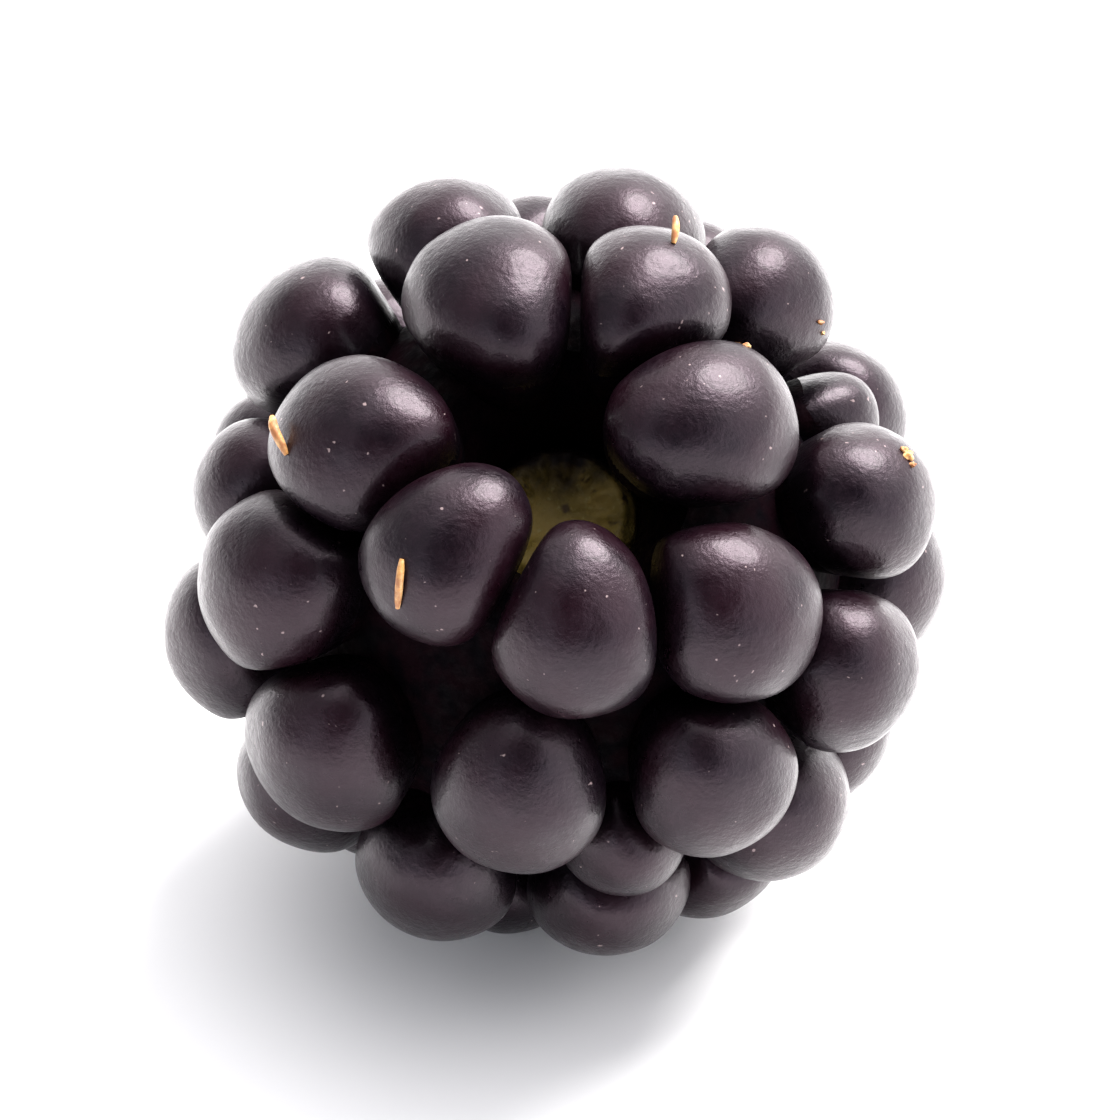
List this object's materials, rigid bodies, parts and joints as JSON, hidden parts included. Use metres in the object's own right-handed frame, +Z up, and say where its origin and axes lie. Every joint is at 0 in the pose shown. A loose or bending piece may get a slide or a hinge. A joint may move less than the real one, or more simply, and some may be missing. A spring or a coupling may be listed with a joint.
{
  "type": "bramble berry",
  "caption": "Ripe picked berry of plump drupelets grown together round a pale core, open at the stem end, lying on its lowest drupelets; food or still-life prop.",
  "frame": {"origin": "on the surface that the berry rests on, under the middle of its bounding box", "axes": "+Z up; the stem end looks forward and up, towards -Y at 59 degrees above the surface"},
  "size_m": [0.0224, 0.0226, 0.0225],
  "materials": {
    "ripe_skin": "thin glossy skin, purple-black",
    "pale_core": "moist fibrous pith, olive to tan",
    "dry_style": "dry, orange-brown"
  },
  "bodies": {
    "root": {"drupelets": "ripe_skin", "receptacle": "pale_core"}
  },
  "joints": []
}
